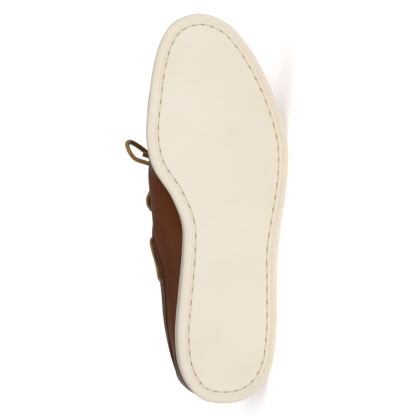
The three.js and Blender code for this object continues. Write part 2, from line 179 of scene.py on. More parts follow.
def floor():
    mesh = bmesh.new()
    bmesh.ops.create_grid(mesh, x_segments=1, y_segments=1, size=FLOOR_REACH / 2000)
    data = mesh_data("floor", mesh)
    acrylic, tree, shader = new_material("matt_white_acrylic", Roughness=0.95, Specular_IOR_Level=0.2)
    shader.inputs["Emission Color"].default_value = linear("#FFFFFF")
    shader.inputs["Emission Strength"].default_value = FLOOR_GLOW
    dress(tree, shader, mixed(tree, noise(tree, 700), ACRYLIC, ACRYLIC_GREY))
    data.materials.append(acrylic)
    add_object("floor", data)


def soft_box(name, spot, goal, size, power):
    data = bpy.data.lights.new(name, "AREA")
    data.size = size
    data.energy = power
    made = add_object(name, data)
    made.location = spot
    made.rotation_euler = (Vector(goal) - Vector(spot)).to_track_quat("-Z", "Y").to_euler()


def sky():
    made = bpy.data.worlds.new("studio_walls")
    made.use_nodes = True
    made.node_tree.nodes["Background"].inputs[0].default_value = linear("#FFFFFF")
    made.node_tree.nodes["Background"].inputs[1].default_value = SKY_STRENGTH
    bpy.context.scene.world = made


floor()
sky()
soft_box("soft_box_over", spot=(0, 0.9, 3.2), goal=(0, 0.9, 0), size=3.6, power=32)
soft_box("soft_box_front", spot=(0.4, -2.0, 0.9), goal=(0, 0, 0.05), size=1.2, power=17)
bpy.context.scene.view_settings.view_transform = "Standard"

# ---------------------------------------------------------------- outsole
# A cup sole moulded in one piece from cream non-marking rubber, matt. Its tread is flat from heel
# to ball, with a pebbled border, a channel for the stitching, and fine wavy cuts that grip.

LENGTH = 295
HEEL_THICK, FORE_THICK = 14, 9.5
HEEL_FRONT, BALL_BACK = 70, 190  # the stations between which the sole thins
TOE_SPRING, SPRING_START = 9, 205
SOLE_COLUMNS = 200  # sections from heel to toe
TREAD_CROSSINGS = 18  # faces across the tread inside the channel
EDGE_STEPS = 400
SIDES = ("inner", "outer")


def table(columns, *rows):
    """Rows of values under the names of their columns."""
    return [dict(zip(columns.split(), row)) for row in rows]


SOLE_ROWS = table(  # half breadths at each station
    "x inner outer",
    (3, 12, 21.5),
    (12, 22.5, 33.5),
    (28, 30, 42),
    (52, 32.5, 45.5),
    (85, 30, 46),
    (115, 27.5, 46),
    (135, 28, 49),
    (155, 36, 52.5),
    (178, 51, 55),
    (200, 56, 54),
    (228, 54, 46),
    (256, 49.5, 33.5),
    (275, 43, 21.5),
    (288, 33, 9),
)
HEEL_TIP, TOE_TIP = Vector((0, 5, 0)), Vector((LENGTH, -12, 0))
SOLE_WALL = table(  # from the top down: inset from the sole's edge, and depth under the sole's top
    "inset down",
    (14, 0),
    (2.9, 0),
    (1.9, 0.15),
    (1.35, 0.5),
    (1.2, 1.1),
    (1.15, 2.7),
    (1.55, 3.0),
    (1.55, 3.4),
    (1.1, 3.7),
)
SOLE_TREAD = table(  # from the edge inwards: inset, and height over the tread
    "inset up",
    (0.15, 2.4),
    (0, 1.5),
    (0.3, 0.7),
    (0.9, 0.2),
    (1.6, 0),
    (5.6, 0),
    (5.75, 0.08),
    (5.95, 0.08),
    (6.1, 0),
    (7.8, 0),
    (8.0, 0.03),
    (8.1, 0.12),
    (8.2, 0.36),
    (8.6, 0.45),
    (9.0, 0.36),
    (9.1, 0.12),
    (9.2, 0.03),
    (9.4, 0),
    (11.5, 0),
)
CHANNEL_INSET = 8.6
CUT = {"apart": 3.2, "wave": 7, "swing": 1.1}  # the wavy cuts: their spacing, wave length and swing
CUT_PATCHES = ((24, 27, 59, 62), (212, 216, 264, 268))  # where they start, are full, fade and end
# The last two colours are painted shade: one for the hollows between pebbles and the cuts, one for the
# stitch channel.
RUBBER, RUBBER_WARM, RUBBER_HOLLOW_SHADE, RUBBER_CHANNEL_SHADE = "#EBE2D3", "#E8DDCB", "#DFD2BC", "#E0D3B9"


def between(low, high, share):
    return low + (high - low) * share


def held(low, high, value):
    """How far a value has come from low to high, held between 0 and 1."""
    return min(max((value - low) / (high - low), 0), 1)


def eased(low, high, value):
    share = held(low, high, value)
    return share * share * (3 - 2 * share)


def along(rows, key, x, by="x"):
    """Smooth value of one column of a table at station x."""
    last = len(rows) - 1
    if x <= rows[0][by]:
        return rows[0][key]
    if x >= rows[last][by]:
        return rows[last][key]
    i = next(k for k in range(last + 1) if rows[k][by] > x) - 1

    def slope(k):
        before, after = rows[max(k - 1, 0)], rows[min(k + 1, last)]
        return (after[key] - before[key]) / (after[by] - before[by])

    step = rows[i + 1][by] - rows[i][by]
    t = (x - rows[i][by]) / step
    level = between(rows[i][key], rows[i + 1][key], t * t * (3 - 2 * t))
    return level + t * (1 - t) * step * ((1 - t) * slope(i) - t * slope(i + 1))


def running(points):
    """The length gone at each of some points in a row."""
    return [0, *accumulate((q - p).length for p, q in zip(points, points[1:]))]


def span_at(gone, length):
    """The span of some running lengths that a length falls in, and the part of it that is gone."""
    i = min(max(bisect_left(gone, length), 1), len(gone) - 1)
    return i, (length - gone[i - 1]) / max(gone[i] - gone[i - 1], 1e-9)


def spline(points, closed=False):
    """A smooth curve through points, as a function from 0 to 1, with spacing by root distance."""
    count = len(points)
    spans = []
    for i in range(count if closed else count - 1):
        b, c = points[i], points[(i + 1) % count]
        a = points[i - 1] if closed or i else 2 * b - c
        d = points[(i + 2) % count] if closed or i + 2 < count else 2 * c - b
        gaps = [max((q - p).length, 1e-6) ** 0.5 for p, q in ((a, b), (b, c), (c, d))]
        into = (b - a) / gaps[0] - (c - a) / (gaps[0] + gaps[1]) + (c - b) / gaps[1]
        away = (c - b) / gaps[1] - (d - b) / (gaps[1] + gaps[2]) + (d - c) / gaps[2]
        into, away = into * gaps[1], away * gaps[1]
        spans.append((b, into, 3 * (c - b) - 2 * into - away, 2 * (b - c) + into + away))

    def at(t):
        i = min(int(t * len(spans)), len(spans) - 1)
        part = t * len(spans) - i
        b, first, second, third = spans[i]
        return b + part * (first + part * (second + part * third))

    return at


def sole_bottom(x):
    return TOE_SPRING * max(0, (x - SPRING_START) / (LENGTH - SPRING_START)) ** 2


def sole_top(x):
    return sole_bottom(x) + between(HEEL_THICK, FORE_THICK, eased(HEEL_FRONT, BALL_BACK, x))


def sole_edge(side):
    """One edge of the sole: from a share of its length to the point and the way out of the sole."""
    sign, other = (-1, "outer") if side == "inner" else (1, "inner")
    near = [Vector((row["x"], sign * row[side], 0)) for row in SOLE_ROWS]
    far = [Vector((row["x"], -sign * row[other], 0)) for row in reversed(SOLE_ROWS)]
    outline = spline([HEEL_TIP, *near, TOE_TIP, *far], closed=True)
    points = [outline(i / EDGE_STEPS / 2) for i in range(EDGE_STEPS + 1)]
    gone = running(points)

    @lru_cache(maxsize=None)
    def at(share):
        i, part = span_at(gone, held(0, 1, share) * gone[-1])
        t = (i - 1 + part) / EDGE_STEPS / 2
        run = outline((t + 0.001) % 1) - outline((t - 0.001) % 1)
        return points[i - 1].lerp(points[i], part), Vector((-sign * run.y, sign * run.x, 0)).normalized()

    return at, gone[-1]


EDGE = {side: sole_edge(side)[0] for side in SIDES}
EDGE_LENGTH = {side: sole_edge(side)[1] for side in SIDES}


def sheet(mesh, columns, rows, spot):
    """A grid of faces whose points go to spot(column, row). It faces where columns cross rows."""
    verts = bmesh.ops.create_grid(mesh, x_segments=columns, y_segments=rows, size=0.5)["verts"]
    for vert in verts:
        column, row = round((vert.co.x + 0.5) * columns), round((vert.co.y + 0.5) * rows)
        spot(vert, column, row)
    return verts


def tidy(mesh, dist=0.004):
    """Closes seams and poles where the points of a sheet meet."""
    bmesh.ops.remove_doubles(mesh, verts=mesh.verts, dist=dist)
    bmesh.ops.dissolve_degenerate(mesh, edges=mesh.edges, dist=dist)


def piece(name, mesh, materials, nodes=()):
    """A finished object from a mesh in the shoe's millimetres, laid down in the row's frame."""
    bmesh.ops.transform(mesh, matrix=SHOE, verts=mesh.verts)
    data = mesh_data(name, mesh)
    for material in materials:
        data.materials.append(material)
    data.shade_smooth()
    made = add_object(name, data)
    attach(made, "root")
    if nodes:
        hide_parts(*nodes)
    return made


def layer(mesh, name, kind="float"):
    """The layer of values by that name on a mesh's points."""
    kinds = getattr(mesh.verts.layers, kind)
    return kinds.get(name) or kinds.new(name)


def slab(mesh, columns, crossings, wall, tread, place):
    """A slab along the sole's outline. wall and tread give a half section, and place its height."""
    inset_of, depth_of = layer(mesh, "inset"), layer(mesh, "depth")
    section = wall + tread
    shares = [k / crossings for k in range(1, crossings)]
    rings = []
    for i in range(columns + 1):
        edges = [EDGE[side](i / columns) for side in SIDES]
        inner, outer = [[(point - out * row["inset"], row) for row in section] for point, out in edges]
        under_foot = [(inner[-1][0].lerp(outer[-1][0], share), section[-1]) for share in shares]
        on_top = [(outer[0][0].lerp(inner[0][0], share), section[0]) for share in shares]
        rings.append([*inner, *under_foot, *outer[::-1], *on_top, inner[0]])

    def spot(vert, column, row):
        point, line = rings[column][row]
        vert.co = place(point, line)
        vert[inset_of] = line["inset"]
        vert[depth_of] = line.get("up", 0) if line["inset"] > 7 else 0

    sheet(mesh, columns, len(rings[0]) - 1, spot)
    tidy(mesh)
    bmesh.ops.recalc_face_normals(mesh, faces=mesh.faces)


def sole_height(point, line):
    """A point of the outsole's section, at its height over the ground."""
    if "down" in line:
        return Vector((point.x, point.y, sole_top(point.x) - line["down"]))
    return Vector((point.x, point.y, sole_bottom(point.x) + line["up"]))


def carried(tree, name):
    """A value that the mesh carries at its points."""
    return add_node(tree, "Attribute", attribute_name=name).outputs["Fac"]


def cells(tree, scale, feature="F1"):
    """How far a spot is from the middle of its cell, in a pattern of scattered cells."""
    where = add_node(tree, "TexCoord").outputs["Object"]
    return add_node(tree, "TexVoronoi", {"Vector": where, "Scale": scale}, feature=feature).outputs[0]


def rubber():
    """Moulded rubber: matt and slightly warm. The border is pebbled, and the cuts stay closed; shade is
    painted into the hollows, the cuts and the channel.
    """
    made, tree, shader = new_material("cream_moulded_rubber", Roughness=0.6, Specular_IOR_Level=0.35)
    inset, depth = carried(tree, "inset"), carried(tree, "depth")
    plan = add_node(tree, "UVMap", uv_map="plan").outputs[0]
    ahead, aside, _ = add_node(tree, "SeparateXYZ", {0: plan}).outputs
    # Pebbles about 0.9 mm across, on the border outside the channel.
    pebble = cells(tree, 1100)
    border = ramp(tree, inset, 7.7, 7.3)
    wave = reckon(tree, "SINE", times(tree, aside, math.tau / CUT["wave"]))
    line = reckon(tree, "ADD", ahead, times(tree, wave, CUT["swing"]))
    cut = ramp(tree, reckon(tree, "PINGPONG", line, CUT["apart"] / 2), 0.22, 0.05)
    heel_patch, toe_patch = [
        times(tree, ramp(tree, ahead, back, full), ramp(tree, ahead, front, fade))
        for back, full, fade, front in CUT_PATCHES
    ]
    patch = reckon(tree, "ADD", toe_patch, heel_patch)
    cut = times(tree, cut, times(tree, patch, ramp(tree, inset, 11.9, 12)))
    base = mixed(tree, ramp(tree, noise(tree, 16, 3), 0.35, 0.65), RUBBER, RUBBER_WARM)
    # Painted shade: the hollows between the pebbles and the wavy cuts are drawn darker.
    low = times(tree, ramp(tree, pebble, 0.35, 0.6), border)
    base = mixed(tree, times(tree, low, 0.4), base, RUBBER_HOLLOW_SHADE)
    base = mixed(tree, times(tree, cut, 0.35), base, RUBBER_HOLLOW_SHADE)
    # Painted shade: the stitch channel is drawn darker the deeper it goes.
    base = mixed(tree, ramp(tree, depth, 0.03, 0.36), base, RUBBER_CHANNEL_SHADE)
    height = reckon(tree, "ADD", times(tree, pebble, border), times(tree, cut, 0.6))
    dress(tree, shader, base, height, invert=True)
    return made


def outsole():
    mesh = bmesh.new()
    slab(mesh, SOLE_COLUMNS, TREAD_CROSSINGS, SOLE_WALL, SOLE_TREAD, sole_height)
    plan = mesh.loops.layers.uv.new("plan")
    for face in mesh.faces:
        for loop in face.loops:
            loop[plan].uv = loop.vert.co.xy
    piece("outsole_rubber", mesh, [rubber()], ["outsole"])


outsole()

# ---------------------------------------------------------------- sole stitches
# One row of heavy waxed thread round the sole, sunk in its channel. It locks the cup sole to the
# upper's foot. Each stitch rises out of its hole, lies along the channel and dives again.

SOLE_STITCHES = 70
SOLE_THREAD = {"wide": 1.0, "high": 0.6, "dip": 0.2}
SOLE_THREAD_UP = 0.32  # its middle over the tread's ground
# The third colour is painted shade, where each stitch dives into its hole.
THREAD, THREAD_DARK, THREAD_HOLE_SHADE = "#E4D6B6", "#D6C6A0", "#80592A"


def waxed_thread(name, light, dark, hole_shade):
    """Waxed thread: satin, with the twist of its plies. Shade is painted on it where it dives into a
    hole.
    """
    made, tree, shader = new_material(name, Roughness=0.55, Specular_IOR_Level=0.4)
    # The plies are 0.5 mm wide, drawn coarser than real ones so that they show.
    ply = noise(tree, 1800, 1)
    twisted = mixed(tree, ramp(tree, ply, 0.35, 0.65), dark, light)
    # Painted shade: each stitch goes dark towards its ends, where it dives into its hole.
    hole_shade_mask = ramp(tree, carried(tree, "stitch_end"), 0.66, 0.76)
    dress(tree, shader, mixed(tree, hole_shade_mask, twisted, hole_shade), ply)
    return made


def round_stitch():
    """A ball of few faces, that every stitch is drawn out from."""
    mesh = bmesh.new()
    bmesh.ops.create_uvsphere(mesh, u_segments=8, v_segments=8, radius=1)
    return mesh_data("round_stitch", mesh)


ROUND_STITCH = round_stitch()


def stitch(mesh, start, end, up, wide, high, dip):
    """A round-ended stitch between two points, whose ends dip into the leather."""
    end_of = layer(mesh, "stitch_end")
    way = (end - start).normalized()
    side = way.cross(up).normalized()
    rise = side.cross(way)
    mesh.from_mesh(ROUND_STITCH)
    mesh.verts.ensure_lookup_table()
    # The section stays nearly full up to the ends, and then closes round.
    for vert in mesh.verts[-len(ROUND_STITCH.vertices) :]:
        x, y, t = vert.co
        full = math.sqrt((1 - t**8) / (1 - t * t)) if abs(t) < 0.999 else 0
        middle = start.lerp(end, 0.5 + t / 2) - rise * dip * t**4
        vert.co = middle + side * (x * full * wide / 2) + rise * (y * full * high / 2)
        vert[end_of] = abs(t)


def sole_stitches():
    mesh = bmesh.new()
    whole = sum(EDGE_LENGTH.values())
    pitch = whole / SOLE_STITCHES

    def channel(gone):
        gone %= whole
        side = "inner" if gone < EDGE_LENGTH["inner"] else "outer"
        share = gone / EDGE_LENGTH["inner"]
        if side == "outer":
            share = 1 - (gone - EDGE_LENGTH["inner"]) / EDGE_LENGTH["outer"]
        point, out = EDGE[side](share)
        spot = point - out * CHANNEL_INSET
        return Vector((spot.x, spot.y, sole_bottom(spot.x) + SOLE_THREAD_UP))

    for k in range(SOLE_STITCHES):
        start, end = channel(k * pitch), channel((k + 1) * pitch)
        stitch(mesh, start, end, Vector((0, 0, -1)), **SOLE_THREAD)
    thread = waxed_thread("waxed_sole_thread", THREAD, THREAD_DARK, THREAD_HOLE_SHADE)
    piece("sole_stitches", mesh, [thread])


sole_stitches()

# ---------------------------------------------------------------- insole
# A sock of soft tan leather over foam, 3.5 mm, glued down inside the foot and bedded a little in
# the sole. It is rounded where it meets the upper's wall.

GAP = 0.3  # between pieces that touch
INSOLE_THICK = 3.5
INSOLE_RIM = 0.9  # how far its top lies over the level that the two tables count from
INSOLE_COLUMNS, INSOLE_CROSSINGS = 120, 12
INSOLE_WALL = table("inset over", (13, 0.8), (9.5, 0.9), (8, 0.7))
INSOLE_FOOT = table("inset over", (7.6, 0.3), (7.6, -3.0), (8.4, -3.5))
TAN, TAN_DARK = "#C49A66", "#A87C4B"


def insole_height(point, line):
    low = sole_top(point.x) + GAP + INSOLE_THICK - INSOLE_RIM
    return Vector((point.x, point.y, low + line["over"]))


def lining_leather():
    """Unfinished vegetable-tanned lining: dry and pale, darker in cloudy patches."""
    made, tree, shader = new_material("vegetable_tanned_lining", Roughness=0.75, Specular_IOR_Level=0.3)
    base = mixed(tree, ramp(tree, noise(tree, 30, 4), 0.3, 0.7), TAN_DARK, TAN)
    # Pores 0.6 mm apart.
    dress(tree, shader, base, cells(tree, 1600), strength=0.3, depth=0.0001)
    return made


LINING = lining_leather()


def insole():
    mesh = bmesh.new()
    slab(mesh, INSOLE_COLUMNS, INSOLE_CROSSINGS, INSOLE_WALL, INSOLE_FOOT, insole_height)
    piece("insole_leather", mesh, [LINING], ["insole"])


insole()

# ---------------------------------------------------------------- upper
# Full-grain oiled cowhide, 2 mm, lasted by hand: one wall round heel and sides, gathered at the
# toe to the plug by a raised moccasin seam. It stands 5 mm in from the sole's edge at its foot.

WALL, FEATHER = 2, 5
UPPER_ROWS = 56  # faces from foot to rim
UPPER_BEHIND, UPPER_AHEAD = 170, 110  # faces from heel to throat, and on to the toe
SECTION_STEPS = 12  # for the length of a section
HALVINGS = 22
NEAR_CREST = 0.995
SWELL_RISE, SWELL_RISE_TOE = 0.36, 0.62  # how far up a wall swells, behind and at the toe
SWELL_SPAN = (140, 230)  # the stations between which that changes
RIDGE_ROWS = table(  # the crest that both walls rise to
    "x y z",
    (28, 6, 104),
    (80, 5, 101),
    (120, 4, 92),
    (150, 2, 79),
    (178, 0, 66.5),
    (205, -3, 56),
    (235, -7, 48),
    (262, -10, 43),
)
WALL_ROWS = table(  # how far each wall swells past the sole, and where it turns over to the crest
    "x inner_swell outer_swell inner_brow outer_brow",
    (0, 0, 0, 0.74, 0.74),
    (30, -2, -1, 0.68, 0.74),
    (75, 8, 0, 0.92, 0.66),
    (100, 16, 2, 1.1, 0.64),
    (130, 27, 12, 1.38, 0.84),
    (155, 18, 8, 1.28, 0.85),
    (185, -4, -1, 0.82, 0.82),
    (230, -3, 0, 0.84, 0.86),
    (270, -3, -1, 0.8, 0.8),
    (295, -2, -2, 0.74, 0.74),
)
TOP_ROWS = table(  # the collar's line from the side, up to the facings' rounded corners
    "x z",
    (-20, 71),
    (8, 69.5),
    (40, 61),
    (80, 56),
    (105, 60),
    (122, 70),
    (132, 83),
    (136, 110),
)
THROAT = {"back": 110, "front": 178, "back_half": 18, "front_half": 11}
THROAT_CENTRE, THROAT_LOW = 1, 45  # its middle, and a height that it stays over
RIM_LOW, RIM_STEP = 0.25, 0.02  # where up a section the search for the rim starts, and its step
SEAM_ROWS = table(  # the moccasin seam: how high up the wall it runs, by share of the way to the toe
    "share rise",
    (0.56, 0.90),
    (0.64, 0.82),
    (0.72, 0.76),
    (0.82, 0.70),
    (0.92, 0.66),
    (1.0, 0.645),
)
SEAM_START, SEAM_STEPS = SEAM_ROWS[0]["share"], 120
SEAM = {"pitch": 6.2, "lip": 1.5, "wide": 1.9, "pucker": 0.28, "step": 0.7}
GATHER = {"under": 4, "wide": 4, "high": 0.7}  # the swellings under the seam
CREASES = table(  # soft folds: seen from above or from a side, between two points, half width and depth
    "seen start end wide deep",
    ("above", (198, -30), (205, 24), 5.5, 1.1),
    ("above", (190, -34), (193, -14), 4.0, 0.8),
    ("above", (211, -26), (214, 6), 4.5, 0.6),
    ("above", (203, -38), (209, -16), 3.5, -0.7),
    ("inner", (60, 22), (92, 34), 6.0, 0.9),
    ("inner", (100, 24), (140, 40), 7.0, 0.9),
    ("inner", (30, 40), (58, 50), 5.0, 0.7),
    ("inner", (165, 26), (196, 34), 5.0, 0.7),
    ("outer", (70, 26), (108, 38), 6.0, 0.8),
    ("outer", (28, 42), (60, 48), 5.0, 0.7),
    ("outer", (165, 28), (200, 32), 5.0, 0.5),
)
VAMP_LOW = 35
LEATHER, LEATHER_DEEP, LEATHER_PALE = "#66330E", "#4C240B", "#784016"
CUT_EDGE = "#432413"


@lru_cache(maxsize=None)
def ridge_point(share):
    mean = (EDGE["inner"](share)[0].x + EDGE["outer"](share)[0].x) / 2
    x = between(RIDGE_ROWS[0]["x"], RIDGE_ROWS[-1]["x"], mean / LENGTH)
    return Vector((x, along(RIDGE_ROWS, "y", x), along(RIDGE_ROWS, "z", x)))


@lru_cache(maxsize=None)
def wall_bend(side, share):
    """The four points that bend one section of a wall, from its foot to the crest."""
    point, out = EDGE[side](share)
    ridge = ridge_point(share)
    foot = point - out * FEATHER
    foot.z = sole_top(foot.x) + GAP
    swell = point + out * along(WALL_ROWS, side + "_swell", point.x)
    swell_rise = between(SWELL_RISE, SWELL_RISE_TOE, eased(*SWELL_SPAN, point.x))
    swell.z = between(foot.z, ridge.z, swell_rise)
    brow = ridge.lerp(point, along(WALL_ROWS, side + "_brow", point.x))
    brow.z = ridge.z
    return foot, swell, brow, ridge


def last_point(side, share, rise):
    """A point of the last: share runs from heel to toe, rise from the foot up to the crest."""
    foot, swell, brow, ridge = wall_bend(side, share)
    rest = 1 - rise
    low = rest**3 * foot + 3 * rest * rest * rise * swell
    return low + 3 * rest * rise * rise * brow + rise**3 * ridge


def last_normal(side, share, rise):
    """The way out of the last. The crest has one way for both walls, and so have the tips."""
    step = 0.002
    ahead, behind = min(share + step, 1), max(share - step, 0)
    if rise > 1 - step:
        run = ridge_point(ahead) - ridge_point(behind)
        return Vector((-run.z, 0, run.x)).normalized()
    turn = 1 if side == "inner" else -1
    out = EDGE[side](share)[1]
    run = Vector((-turn * out.y, turn * out.x, 0))
    if 0 < share < 1:
        run = last_point(side, ahead, rise) - last_point(side, behind, rise)
    up = last_point(side, share, min(rise + step, 1)) - last_point(side, share, max(rise - step, 0))
    return turn * run.cross(up).normalized()


@lru_cache(maxsize=None)
def wall_length(side, share):
    """Length of a section from its foot to the crest."""
    rises = [k / SECTION_STEPS for k in range(SECTION_STEPS + 1)]
    return running([last_point(side, share, rise) for rise in rises])[-1]


def seam_rise(share):
    return along(SEAM_ROWS, "rise", share, by="share")


def seam_gone(side):
    """Lengths along the seam at even shares, from where it starts to the toe."""
    shares = [between(SEAM_START, 1, k / SEAM_STEPS) for k in range(SEAM_STEPS + 1)]
    return running([last_point(side, share, seam_rise(share)) for share in shares])


SEAM_GONE = {side: seam_gone(side) for side in SIDES}


def share_of_seam(side, length):
    i, part = span_at(SEAM_GONE[side], length)
    return between(SEAM_START, 1, (i - 1 + part) / SEAM_STEPS)


def seam_left(side, share):
    """Length of the seam that is left from a share on to the toe."""
    place = held(SEAM_START, 1, share) * SEAM_STEPS
    i = min(int(place), SEAM_STEPS - 1)
    return SEAM_GONE[side][-1] - between(SEAM_GONE[side][i], SEAM_GONE[side][i + 1], place - i)


def last_spot(side, share, rise):
    return last_point(side, share, rise), last_normal(side, share, rise)


def relief(side, share, rise, point):
    """How far the leather stands over or under the last: the moccasin seam and the creases."""
    high = 0.0
    if share > SEAM_START:
        off = (rise - seam_rise(share)) * wall_length(side, share)
        turn = math.tau * seam_left(side, share) / SEAM["pitch"]
        pucker = 1 - SEAM["pucker"] * (1 - math.cos(turn))
        full = eased(SEAM_START, SEAM_START + 0.03, share)
        high += full * SEAM["lip"] * pucker * math.exp(-((off / SEAM["wide"]) ** 2))
        # The gathered wall is fuller under the seam, and swells between the stitches.
        swell = math.exp(-(((off + GATHER["under"]) / GATHER["wide"]) ** 2)) * (pucker - 0.5)
        step = eased(0.6, -0.6, off) * eased(-16, -6, off)
        high += full * (SEAM["step"] * step + GATHER["high"] * swell)
    for crease in CREASES:
        if crease["seen"] == "above":
            here = Vector((point.x, point.y))
        elif crease["seen"] == side:
            here = Vector((point.x, point.z))
        else:
            continue
        start, end = Vector(crease["start"]), Vector(crease["end"])
        part = held(0, 1, (here - start).dot(end - start) / (end - start).length_squared)
        gone = (here - start.lerp(end, part)).length / crease["wide"]
        depth = crease["deep"] * math.sin(math.pi * between(0.12, 0.88, part))
        # Those seen from above are on the vamp only, and not on the wall below it.
        if gone < 3 and (crease["seen"] != "above" or point.z > VAMP_LOW):
            high -= depth * math.exp(-gone * gone)
    return high


def skin_spot(side, share, rise, grow=0.0):
    """A point on the upper's outside, or so far over it, and the way out."""
    point, out = last_spot(side, share, rise)
    return point + out * (grow + relief(side, share, rise, point)), out


def in_strip(point, strip, grow):
    """Whether a point lies in a tapered strip with round ends, seen from above."""
    back, front = strip["back"] - grow, strip["front"] + grow
    back_half, front_half = strip["back_half"] + grow, strip["front_half"] + grow
    start, end = back + back_half, front - front_half
    part = held(start, end, point.x)
    half = between(back_half, front_half, part)
    middle = Vector((between(start, end, part), THROAT_CENTRE))
    away = Vector((point.x, point.y)) - middle
    return abs(away.y) < half if 0 < part < 1 else away.length < half


def is_open(point, grow):
    """Whether a point of the last lies in the collar or throat, or within some way of them."""
    if point.z > THROAT_LOW and in_strip(point, THROAT, grow):
        return True
    # The collar's line is tried upwards, backwards and between, so that it is grown evenly.
    for back, up in ((0, 1), (0.7, 0.7), (1, 0)):
        x, z = point.x - back * grow, point.z + up * grow
        if x < TOP_ROWS[-1]["x"] and z > along(TOP_ROWS, "z", x):
            return True
    return False


def solve(low, high, measure):
    """The value at which a rising measure passes zero."""
    for _ in range(HALVINGS):
        middle = (low + high) / 2
        if measure(middle) < 0:
            low = middle
        else:
            high = middle
    return (low + high) / 2


@lru_cache(maxsize=None)
def rim_rise(side, share, grow=0.0):
    """How high up a section the leather goes, up to the rim or so far short of it."""
    if ridge_point(share).x > THROAT["front"] + grow:
        return 1.0
    low = RIM_LOW
    while low < 1 and not is_open(last_point(side, share, low + RIM_STEP), grow):
        low += RIM_STEP
    rise = solve(low, low + RIM_STEP, lambda r: 1 if is_open(last_point(side, share, r), grow) else -1)
    return min(rise, 1.0)


@lru_cache(maxsize=None)
def crest_share(x):
    """The share of the way to the toe at which the crest passes a station."""
    return solve(0, 1, lambda share: ridge_point(share).x - x)


def shares_to(x, count, start=0.0):
    """Shares from a start to the one where the crest passes a station, closer near it."""
    end = crest_share(x)
    return [between(start, end, math.sin(k / count * math.pi / 2)) for k in range(count + 1)]


def skin(mesh, side, shares, rows, low, high, grow=0.0):
    """A sheet of one wall between two rises, which are functions of the share, facing out."""
    raised = layer(mesh, "relief")
    count = len(shares) - 1

    def spot(vert, column, row):
        share = shares[column if side == "inner" else count - column]
        rise = between(low(share), high(share), row / rows)
        vert.co, out = skin_spot(side, share, rise, grow)
        vert[raised] = (vert.co - last_point(side, share, rise)).dot(out) - grow

    sheet(mesh, count, rows, spot)


def punch(mesh, point, out, radius):
    """Cuts a round hole through a sheet at a point."""
    def off(vert):
        away = vert.co - point
        return (away - out * away.dot(out)).length, away.dot(out)

    # The faces well inside the hole go, on this wall of the shoe only, and their rim is rounded.
    near = [v for v in mesh.verts if (v.co - point).length < 2 * radius + 4]
    gone = {f for v in near if off(v)[0] < radius * 0.9 and abs(off(v)[1]) < 3 for f in v.link_faces}
    rim = {v for f in gone for v in f.verts if any(g not in gone for g in v.link_faces)}
    bmesh.ops.delete(mesh, geom=list(gone), context="FACES")
    for vert in rim:
        away = vert.co - point
        level = out * away.dot(out)
        vert.co = point + level + (away - level).normalized() * radius


def punch_holes(mesh, over=0):
    for point, out, radius in HOLES:
        punch(mesh, point + out * over, out, radius)


def oiled_leather(name, light, deep, pale):
    """Oiled full-grain hide: satin, fine-grained, with shade painted into its folds, and paler where it
    pulls.
    """
    made, tree, shader = new_material(name, Roughness=0.36, Specular_IOR_Level=0.09)
    raised = carried(tree, "relief")
    # Clouds of oil and dye 40 mm and 8 mm across.
    cloud, fleck = noise(tree, 25, 4), noise(tree, 130, 5)
    base = mixed(tree, ramp(tree, cloud, 0.15, 0.6), deep, light)
    base = mixed(tree, times(tree, ramp(tree, fleck, 0.45, 0.75), 0.3), base, pale)
    base = mixed(tree, times(tree, ramp(tree, raised, 0.5, 2.0), 0.4), base, pale)
    # Painted shade: the hide is drawn darker where it sinks into a crease.
    base = mixed(tree, times(tree, ramp(tree, raised, -0.2, -1.2), 0.5), base, deep)
    rough = reckon(tree, "ADD", 0.26, times(tree, fleck, 0.2))
    tree.links.new(rough, shader.inputs["Roughness"])
    # Grain cells 0.9 mm across, and pores of a third of that.
    grain, pore = cells(tree, 1100, "SMOOTH_F1"), noise(tree, 3000)
    height = reckon(tree, "ADD", times(tree, grain, 0.7), times(tree, pore, 0.3))
    dress(tree, shader, base, height, strength=0.35, depth=0.00015)
    return made


def raw_edge():
    """The cut edge of the hide, stained and burnished."""
    made, tree, shader = new_material("burnished_leather_edge", Roughness=0.5)
    dress(tree, shader, mixed(tree, noise(tree, 1500, 3), CUT_EDGE, LEATHER_DEEP))
    return made


HIDE = oiled_leather("oiled_full_grain_leather", LEATHER, LEATHER_DEEP, LEATHER_PALE)
RAW_EDGE = raw_edge()


def thicken(made, thick, inside=0):
    """Gives a sheet its thickness inwards, with a raw edge and perhaps a lining inside."""
    shell = made.modifiers.new("thickness", "SOLIDIFY")
    shell.thickness = thick * 0.001
    shell.offset = -1
    shell.material_offset = inside
    shell.material_offset_rim = len(made.data.materials) - 1


EYELET_ROWS = table("x off", (151, 20), (169, 17))
EYELET_HOLE, LACE_HOLE = 2.6, 2.2
COLLAR_LACE_ROWS = table(
    "x z",
    (90, 47),
    (105, 52),
    (116, 59),
    (128, 62.5),
    (142, 61),
    (162, 57.5),
)
COLLAR_LACE_SHOWN = table("front back arch", (160, 146, 1.2), (124, 91, 0))


def spot_at(side, x, measure, grow=0.0):
    """The point and way out on a wall at station x where a rising measure of the point is zero."""
    def share_at(rise):
        return solve(0, 1, lambda share: last_point(side, share, rise).x - x)

    rise = solve(0, NEAR_CREST, lambda r: measure(last_point(side, share_at(r), r)))
    return skin_spot(side, share_at(rise), rise, grow)


def beside_crest(side, x, off, grow=0.0):
    """The spot on a wall at station x that lies so far beside the crest."""
    middle = along(RIDGE_ROWS, "y", x)
    return spot_at(side, x, lambda p: off - abs(p.y - middle), grow)


def on_collar_line(side, x, grow=0.0):
    """The spot on a wall at station x on the collar lace's line."""
    return spot_at(side, x, lambda p: p.z - along(COLLAR_LACE_ROWS, "z", x), grow)


